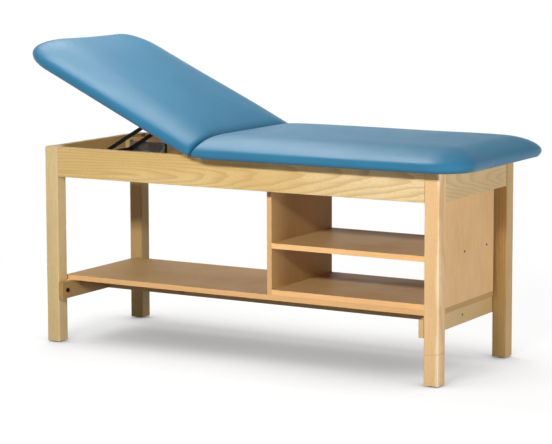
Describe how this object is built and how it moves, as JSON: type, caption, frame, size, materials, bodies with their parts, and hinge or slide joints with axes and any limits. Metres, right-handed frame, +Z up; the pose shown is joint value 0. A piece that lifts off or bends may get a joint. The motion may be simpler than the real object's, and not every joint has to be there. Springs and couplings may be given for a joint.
{
  "type": "treatment table",
  "caption": "Padded treatment table with a tilting backrest on a wooden H-braced frame, with a full lower shelf and an open shelf unit.",
  "frame": {"origin": "on the floor, under the middle of the table's overall box as it stands with the backrest raised", "axes": "+X from the head end to the foot end, +Y from the front to the back, +Z up"},
  "size_m": [1.7649, 0.762, 1.1164],
  "materials": {
    "hardwood": "clear lacquered pale hardwood",
    "laminate": "satin wood-print laminate on board",
    "plywood": "raw plywood",
    "vinyl": "soft satin upholstery vinyl",
    "foam": "cut upholstery foam",
    "black_steel": "black powder coat",
    "zinc": "bright zinc plate",
    "screw": "dull plated steel",
    "glide": "dark moulded nylon"
  },
  "bodies": {
    "table_frame": {"leg_front_head": "hardwood", "corner_block_front_head": "hardwood", "leg_back_head": "hardwood", "corner_block_back_head": "hardwood", "head_end_rail": "hardwood", "head_cross_rail": "hardwood", "leg_front_foot": "hardwood", "corner_block_front_foot": "hardwood", "leg_back_foot": "hardwood", "corner_block_back_foot": "hardwood", "foot_end_rail": "hardwood", "foot_cross_rail": "hardwood", "front_rail": "hardwood", "front_rack_bearer": "hardwood", "front_rack": "zinc", "back_rail": "hardwood", "back_rack_bearer": "hardwood", "back_rack": "zinc", "floor_glides": "glide", "hanger_bolts": "zinc", "hanger_nuts": "zinc", "centre_stretcher": "hardwood", "cross_rail_bolts": "black_steel", "stretcher_screws": "screw", "lower_shelf": "laminate", "lower_shelf_screws": "screw", "unit_divider": "laminate", "unit_end_panel": "laminate", "unit_bottom_panel": "laminate", "unit_mid_shelf": "laminate", "mid_shelf_screws": "screw", "bottom_panel_screws": "screw", "unit_dowels": "hardwood", "end_panel_cleat": "hardwood", "panel_screws": "screw", "hinge_rail": "hardwood", "seat_bearer": "hardwood", "rack_strap": "black_steel", "rack_screws": "screw", "seat_board": "plywood", "seat_foam": "foam", "seat_cover": "vinyl", "seat_brackets": "zinc", "seat_bracket_screws": "screw", "hinge_fixed_leaves": "zinc", "hinge_pins": "zinc", "hinge_rail_screws": "screw"},
    "backrest": {"backrest_board": "plywood", "backrest_foam": "foam", "backrest_cover": "vinyl", "hinge_moving_leaves": "zinc", "hinge_board_screws": "screw", "pivot_brackets": "black_steel", "pivot_pins": "zinc", "pivot_bracket_screws": "screw"},
    "support_bail": {"support_arm_front": "black_steel", "support_arm_back": "black_steel", "support_rod": "black_steel"}
  },
  "joints": [
    {"name": "backrest_tilt", "type": "hinge", "parent": "table_frame", "child": "backrest", "pos_m": [-0.15944, 0, 0.72], "axis": [0, 1, 0], "range_deg": [-25.2, 19.8]},
    {"name": "support_swing", "type": "hinge", "parent": "backrest", "child": "support_bail", "pos_m": [-0.44737, 0, 0.8461], "axis": [0, 1, 0], "range_deg": [-39.6, 50.4]}
  ],
  "couplings": [
    {"joint": "support_swing", "follows": "backrest_tilt", "ratio": -2}
  ]
}
